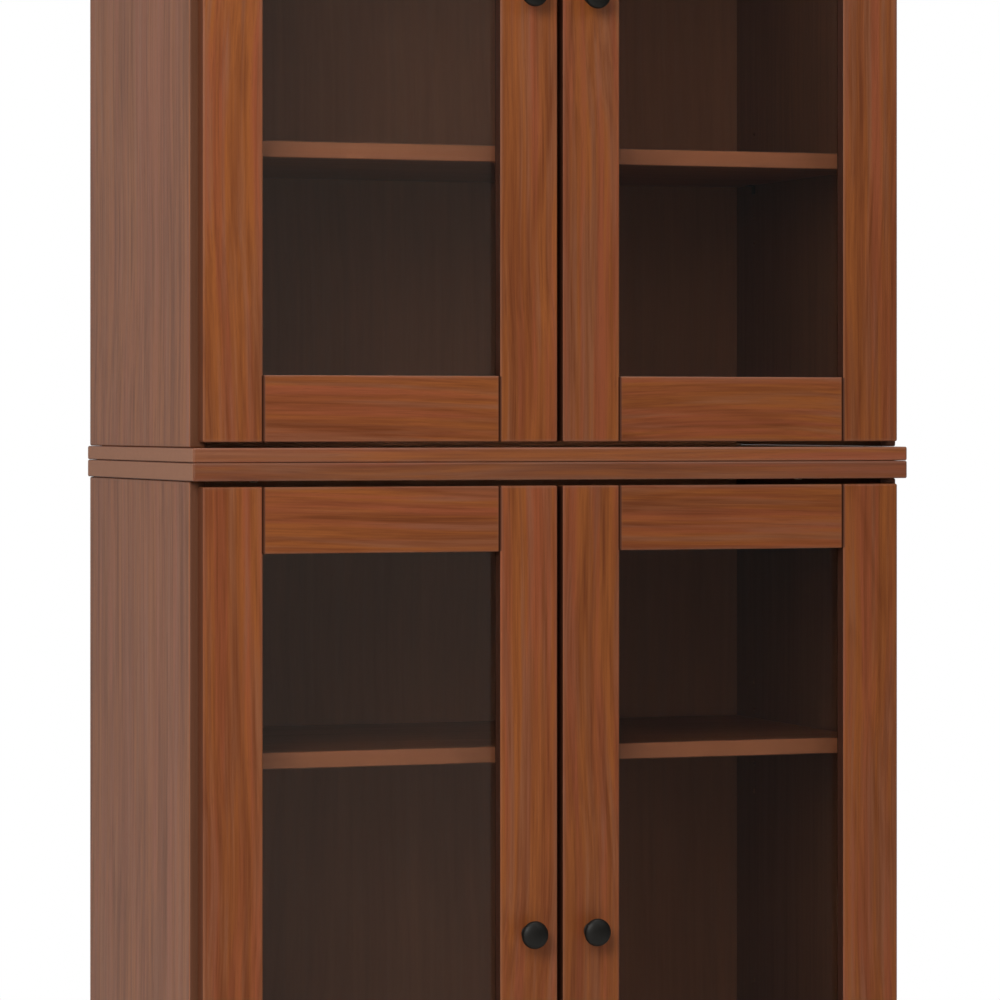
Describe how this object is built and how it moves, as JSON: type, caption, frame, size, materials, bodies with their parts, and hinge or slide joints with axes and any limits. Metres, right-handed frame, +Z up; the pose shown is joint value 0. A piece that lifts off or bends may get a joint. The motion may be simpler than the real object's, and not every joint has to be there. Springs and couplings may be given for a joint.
{
  "type": "pantry cabinet",
  "caption": "Tall two-tier wooden pantry cabinet with pairs of framed glass doors on cup hinges, adjustable shelves, a two-layer middle slab and a plinth.",
  "frame": {"origin": "on the floor under the middle of the cabinet's bounding box, knobs included", "axes": "+Z up, -Y out of the door fronts, +Y towards the wall behind, +X to the right seen from the front"},
  "size_m": [0.8052, 0.4708, 2.0596],
  "materials": {
    "stained_wood": "satin brown stain on close-grained wood",
    "interior_wood": "matt brown stain",
    "glass": "clear float glass",
    "black_knob": "black powder coat, satin",
    "hinge_steel": "nickel plate"
  },
  "bodies": {
    "cabinet": {"lower_back_panel": "interior_wood", "lower_bottom_board": "stained_wood", "lower_left_bottom_hinge_arm": "hinge_steel", "lower_left_side": "stained_wood", "lower_left_top_hinge_arm": "hinge_steel", "lower_right_bottom_hinge_arm": "hinge_steel", "lower_right_side": "stained_wood", "lower_right_top_hinge_arm": "hinge_steel", "lower_shelf_1": "interior_wood", "lower_shelf_2": "interior_wood", "lower_top_board": "stained_wood", "plinth_back": "stained_wood", "plinth_front": "stained_wood", "plinth_left": "stained_wood", "plinth_right": "stained_wood", "upper_back_panel": "interior_wood", "upper_bottom_board": "stained_wood", "upper_left_bottom_hinge_arm": "hinge_steel", "upper_left_side": "stained_wood", "upper_left_top_hinge_arm": "hinge_steel", "upper_right_bottom_hinge_arm": "hinge_steel", "upper_right_side": "stained_wood", "upper_right_top_hinge_arm": "hinge_steel", "upper_shelf_1": "interior_wood", "upper_shelf_2": "interior_wood", "upper_top_board": "stained_wood"},
    "lower_left_links": {"lower_left_bottom_hinge_link": "hinge_steel", "lower_left_top_hinge_link": "hinge_steel"},
    "lower_left_door": {"lower_left_bottom_rail": "stained_wood", "lower_left_hinge_stile": "stained_wood", "lower_left_knob": "black_knob", "lower_left_meeting_stile": "stained_wood", "lower_left_pane": "glass", "lower_left_top_rail": "stained_wood"},
    "lower_right_links": {"lower_right_bottom_hinge_link": "hinge_steel", "lower_right_top_hinge_link": "hinge_steel"},
    "lower_right_door": {"lower_right_bottom_rail": "stained_wood", "lower_right_hinge_stile": "stained_wood", "lower_right_knob": "black_knob", "lower_right_meeting_stile": "stained_wood", "lower_right_pane": "glass", "lower_right_top_rail": "stained_wood"},
    "upper_left_links": {"upper_left_bottom_hinge_link": "hinge_steel", "upper_left_top_hinge_link": "hinge_steel"},
    "upper_left_door": {"upper_left_bottom_rail": "stained_wood", "upper_left_hinge_stile": "stained_wood", "upper_left_knob": "black_knob", "upper_left_meeting_stile": "stained_wood", "upper_left_pane": "glass", "upper_left_top_rail": "stained_wood"},
    "upper_right_links": {"upper_right_bottom_hinge_link": "hinge_steel", "upper_right_top_hinge_link": "hinge_steel"},
    "upper_right_door": {"upper_right_bottom_rail": "stained_wood", "upper_right_hinge_stile": "stained_wood", "upper_right_knob": "black_knob", "upper_right_meeting_stile": "stained_wood", "upper_right_pane": "glass", "upper_right_top_rail": "stained_wood"}
  },
  "joints": [
    {"name": "lower_left_link_swing", "type": "hinge", "parent": "cabinet", "child": "lower_left_links", "pos_m": [-0.367, -0.1916, 0.5718], "axis": [0, 0, -1], "range_deg": [-42.9, 0]},
    {"name": "lower_left_door_swing", "type": "hinge", "parent": "lower_left_links", "child": "lower_left_door", "pos_m": [-0.3814, -0.1931, 0.5718], "axis": [0, 0, -1], "range_deg": [0, 143]},
    {"name": "lower_right_link_swing", "type": "hinge", "parent": "cabinet", "child": "lower_right_links", "pos_m": [0.367, -0.1916, 0.5718], "axis": [0, 0, 1], "range_deg": [-42.9, 0]},
    {"name": "lower_right_door_swing", "type": "hinge", "parent": "lower_right_links", "child": "lower_right_door", "pos_m": [0.3814, -0.1931, 0.5718], "axis": [0, 0, 1], "range_deg": [0, 143]},
    {"name": "upper_left_link_swing", "type": "hinge", "parent": "cabinet", "child": "upper_left_links", "pos_m": [-0.367, -0.1916, 1.5631], "axis": [0, 0, -1], "range_deg": [-42.9, 0]},
    {"name": "upper_left_door_swing", "type": "hinge", "parent": "upper_left_links", "child": "upper_left_door", "pos_m": [-0.3814, -0.1931, 1.5631], "axis": [0, 0, -1], "range_deg": [0, 143]},
    {"name": "upper_right_link_swing", "type": "hinge", "parent": "cabinet", "child": "upper_right_links", "pos_m": [0.367, -0.1916, 1.5631], "axis": [0, 0, 1], "range_deg": [-42.9, 0]},
    {"name": "upper_right_door_swing", "type": "hinge", "parent": "upper_right_links", "child": "upper_right_door", "pos_m": [0.3814, -0.1931, 1.5631], "axis": [0, 0, 1], "range_deg": [0, 143]}
  ],
  "couplings": [
    {"joint": "lower_left_link_swing", "follows": "lower_left_door_swing", "ratio": -0.3},
    {"joint": "lower_right_link_swing", "follows": "lower_right_door_swing", "ratio": -0.3},
    {"joint": "upper_left_link_swing", "follows": "upper_left_door_swing", "ratio": -0.3},
    {"joint": "upper_right_link_swing", "follows": "upper_right_door_swing", "ratio": -0.3}
  ]
}
